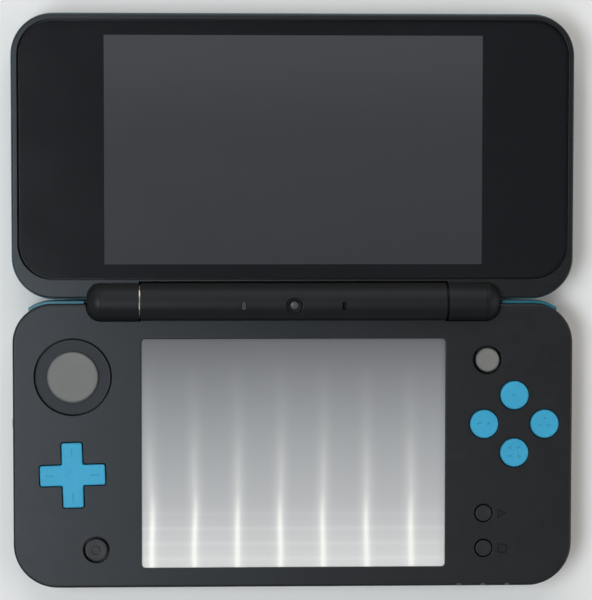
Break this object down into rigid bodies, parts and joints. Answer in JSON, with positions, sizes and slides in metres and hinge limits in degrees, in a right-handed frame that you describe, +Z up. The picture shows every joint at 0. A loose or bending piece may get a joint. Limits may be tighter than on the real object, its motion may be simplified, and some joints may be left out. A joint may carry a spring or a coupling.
{
  "type": "clamshell handheld game console",
  "caption": "Folding handheld game console, opened flat: lid with wide display, base with touch panel, slide pad, directional cross, thumb nub, buttons and stylus.",
  "frame": {"origin": "centre of the opened console's footprint, on the plane that the feet stand on", "axes": "+X to the player's right along the hinge, +Y from the base to the lid, +Z up out of the screens"},
  "size_m": [0.159, 0.1622, 0.0181],
  "materials": {
    "shell_black": "fine satin moulded plastic",
    "turquoise": "semi-gloss turquoise plastic",
    "gloss_black": "polished black window",
    "cover_black": "satin black cover",
    "button_blue": "satin sky blue plastic",
    "pad_grey": "soft grey rubber",
    "rubber_black": "matte black rubber",
    "small_black": "satin dark grey plastic",
    "screen_silver": "satin touch film",
    "screen_grey": "unlit display glass",
    "board_green": "solder-masked board",
    "cell_grey": "wrapped cell",
    "steel": "bright steel",
    "module_grey": "moulded housing",
    "clear_lens": "smoked clear lens"
  },
  "bodies": {
    "base": {"base_top_shell": "shell_black", "base_bottom_shell": "shell_black", "touch_panel": "screen_silver", "lower_display": "screen_grey", "main_board": "board_green", "battery": "cell_grey", "slide_pad_ring": "shell_black", "slide_pad_housing": "module_grey", "button_membrane": "rubber_black", "nub_base": "module_grey", "speaker_left": "module_grey", "speaker_right": "module_grey", "card_connector": "module_grey", "headphone_jack": "module_grey", "charge_port": "module_grey", "light_guide": "clear_lens", "front_camera_housing": "small_black", "front_camera_lens": "clear_lens", "indicator_lens": "clear_lens", "microphone": "module_grey", "outer_camera_window": "gloss_black", "foot_1": "rubber_black", "foot_2": "rubber_black", "foot_3": "rubber_black", "foot_4": "rubber_black", "screw_1": "steel", "screw_2": "steel", "screw_3": "steel", "screw_4": "steel", "hinge_unit_left": "steel", "hinge_unit_right": "steel"},
    "lid": {"lid_front_frame": "shell_black", "lid_back_shell": "turquoise", "lid_cover_plate": "cover_black", "lid_window": "gloss_black", "upper_display": "screen_grey", "hinge_cap_left": "shell_black", "hinge_cap_right": "shell_black"},
    "pad_carriage": {"slide_pad_carriage": "module_grey"},
    "pad_cap": {"slide_pad_stem": "rubber_black", "slide_pad_cap": "pad_grey"},
    "cross_pivot": {"dpad_pivot": "rubber_black"},
    "cross": {"dpad_cross": "button_blue"},
    "nub_ring": {"nub_gimbal": "module_grey"},
    "nub": {"thumb_nub": "pad_grey"},
    "button_top": {"face_button_top": "button_blue"},
    "button_left": {"face_button_left": "button_blue"},
    "button_right": {"face_button_right": "button_blue"},
    "button_bottom": {"face_button_bottom": "button_blue"},
    "home": {"home_button": "small_black"},
    "start": {"start_button": "small_black"},
    "select": {"select_button": "small_black"},
    "power": {"power_button": "small_black"},
    "volume": {"volume_knob": "turquoise"},
    "shoulder_left": {"shoulder_button_left": "turquoise"},
    "shoulder_right": {"shoulder_button_right": "turquoise"},
    "rear_trigger_left": {"trigger_left": "turquoise"},
    "rear_trigger_right": {"trigger_right": "turquoise"},
    "pen": {"stylus": "small_black"},
    "card_flap": {"card_cover": "shell_black"}
  },
  "joints": [
    {"name": "lid_hinge", "type": "hinge", "parent": "base", "child": "lid", "pos_m": [0, 0, 0.0127], "axis": [1, 0, 0], "range_deg": [0, 180]},
    {"name": "slide_pad_y", "type": "slide", "parent": "base", "child": "pad_carriage", "axis": [0, 1, 0], "range_m": [-0.002, 0.002], "stiffness_N_per_m": 120},
    {"name": "slide_pad_x", "type": "slide", "parent": "pad_carriage", "child": "pad_cap", "axis": [1, 0, 0], "range_m": [-0.002, 0.002], "stiffness_N_per_m": 120},
    {"name": "cross_pitch", "type": "hinge", "parent": "base", "child": "cross_pivot", "pos_m": [-0.06238, -0.04896, 0.0089], "axis": [1, 0, 0], "range_deg": [-3.5, 3.5], "stiffness_Nm_per_rad": 0.05},
    {"name": "cross_roll", "type": "hinge", "parent": "cross_pivot", "child": "cross", "pos_m": [-0.06238, -0.04896, 0.0089], "axis": [0, 1, 0], "range_deg": [-3.5, 3.5], "stiffness_Nm_per_rad": 0.05},
    {"name": "nub_pitch", "type": "hinge", "parent": "base", "child": "nub_ring", "pos_m": [0.05489, -0.01656, 0.0092], "axis": [1, 0, 0], "range_deg": [-5, 5], "stiffness_Nm_per_rad": 0.02},
    {"name": "nub_roll", "type": "hinge", "parent": "nub_ring", "child": "nub", "pos_m": [0.05489, -0.01656, 0.0092], "axis": [0, 1, 0], "range_deg": [-5, 5], "stiffness_Nm_per_rad": 0.02},
    {"name": "button_top_press", "type": "slide", "parent": "base", "child": "button_top", "axis": [0, 0, -1], "range_m": [0, 0.0009], "stiffness_N_per_m": 150},
    {"name": "button_left_press", "type": "slide", "parent": "base", "child": "button_left", "axis": [0, 0, -1], "range_m": [0, 0.0009], "stiffness_N_per_m": 150},
    {"name": "button_right_press", "type": "slide", "parent": "base", "child": "button_right", "axis": [0, 0, -1], "range_m": [0, 0.0009], "stiffness_N_per_m": 150},
    {"name": "button_bottom_press", "type": "slide", "parent": "base", "child": "button_bottom", "axis": [0, 0, -1], "range_m": [0, 0.0009], "stiffness_N_per_m": 150},
    {"name": "home_press", "type": "slide", "parent": "base", "child": "home", "axis": [0, 0, -1], "range_m": [0, 0.0005], "stiffness_N_per_m": 150},
    {"name": "start_press", "type": "slide", "parent": "base", "child": "start", "axis": [0, 0, -1], "range_m": [0, 0.0005], "stiffness_N_per_m": 150},
    {"name": "select_press", "type": "slide", "parent": "base", "child": "select", "axis": [0, 0, -1], "range_m": [0, 0.0005], "stiffness_N_per_m": 150},
    {"name": "power_press", "type": "slide", "parent": "base", "child": "power", "axis": [0, 1, 0], "range_m": [0, 0.0005], "stiffness_N_per_m": 150},
    {"name": "volume_slide", "type": "slide", "parent": "base", "child": "volume", "axis": [0, -1, 0], "range_m": [0, 0.005]},
    {"name": "shoulder_left_press", "type": "hinge", "parent": "base", "child": "shoulder_left", "pos_m": [-0.061, -0.00313, 0.009], "axis": [0, 0, 1], "range_deg": [0, 4], "stiffness_Nm_per_rad": 0.08},
    {"name": "shoulder_right_press", "type": "hinge", "parent": "base", "child": "shoulder_right", "pos_m": [0.061, -0.00313, 0.009], "axis": [0, 0, -1], "range_deg": [0, 4], "stiffness_Nm_per_rad": 0.08},
    {"name": "trigger_left_press", "type": "slide", "parent": "base", "child": "rear_trigger_left", "axis": [0, -1, 0], "range_m": [0, 0.0008], "stiffness_N_per_m": 150},
    {"name": "trigger_right_press", "type": "slide", "parent": "base", "child": "rear_trigger_right", "axis": [0, -1, 0], "range_m": [0, 0.0008], "stiffness_N_per_m": 150},
    {"name": "stylus_pull", "type": "slide", "parent": "base", "child": "pen", "axis": [0, -1, 0], "range_m": [0, 0.06]},
    {"name": "card_cover_open", "type": "hinge", "parent": "base", "child": "card_flap", "pos_m": [-0.04135, -0.08065, 0.00225], "axis": [1, 0, 0], "range_deg": [0, 90]}
  ]
}
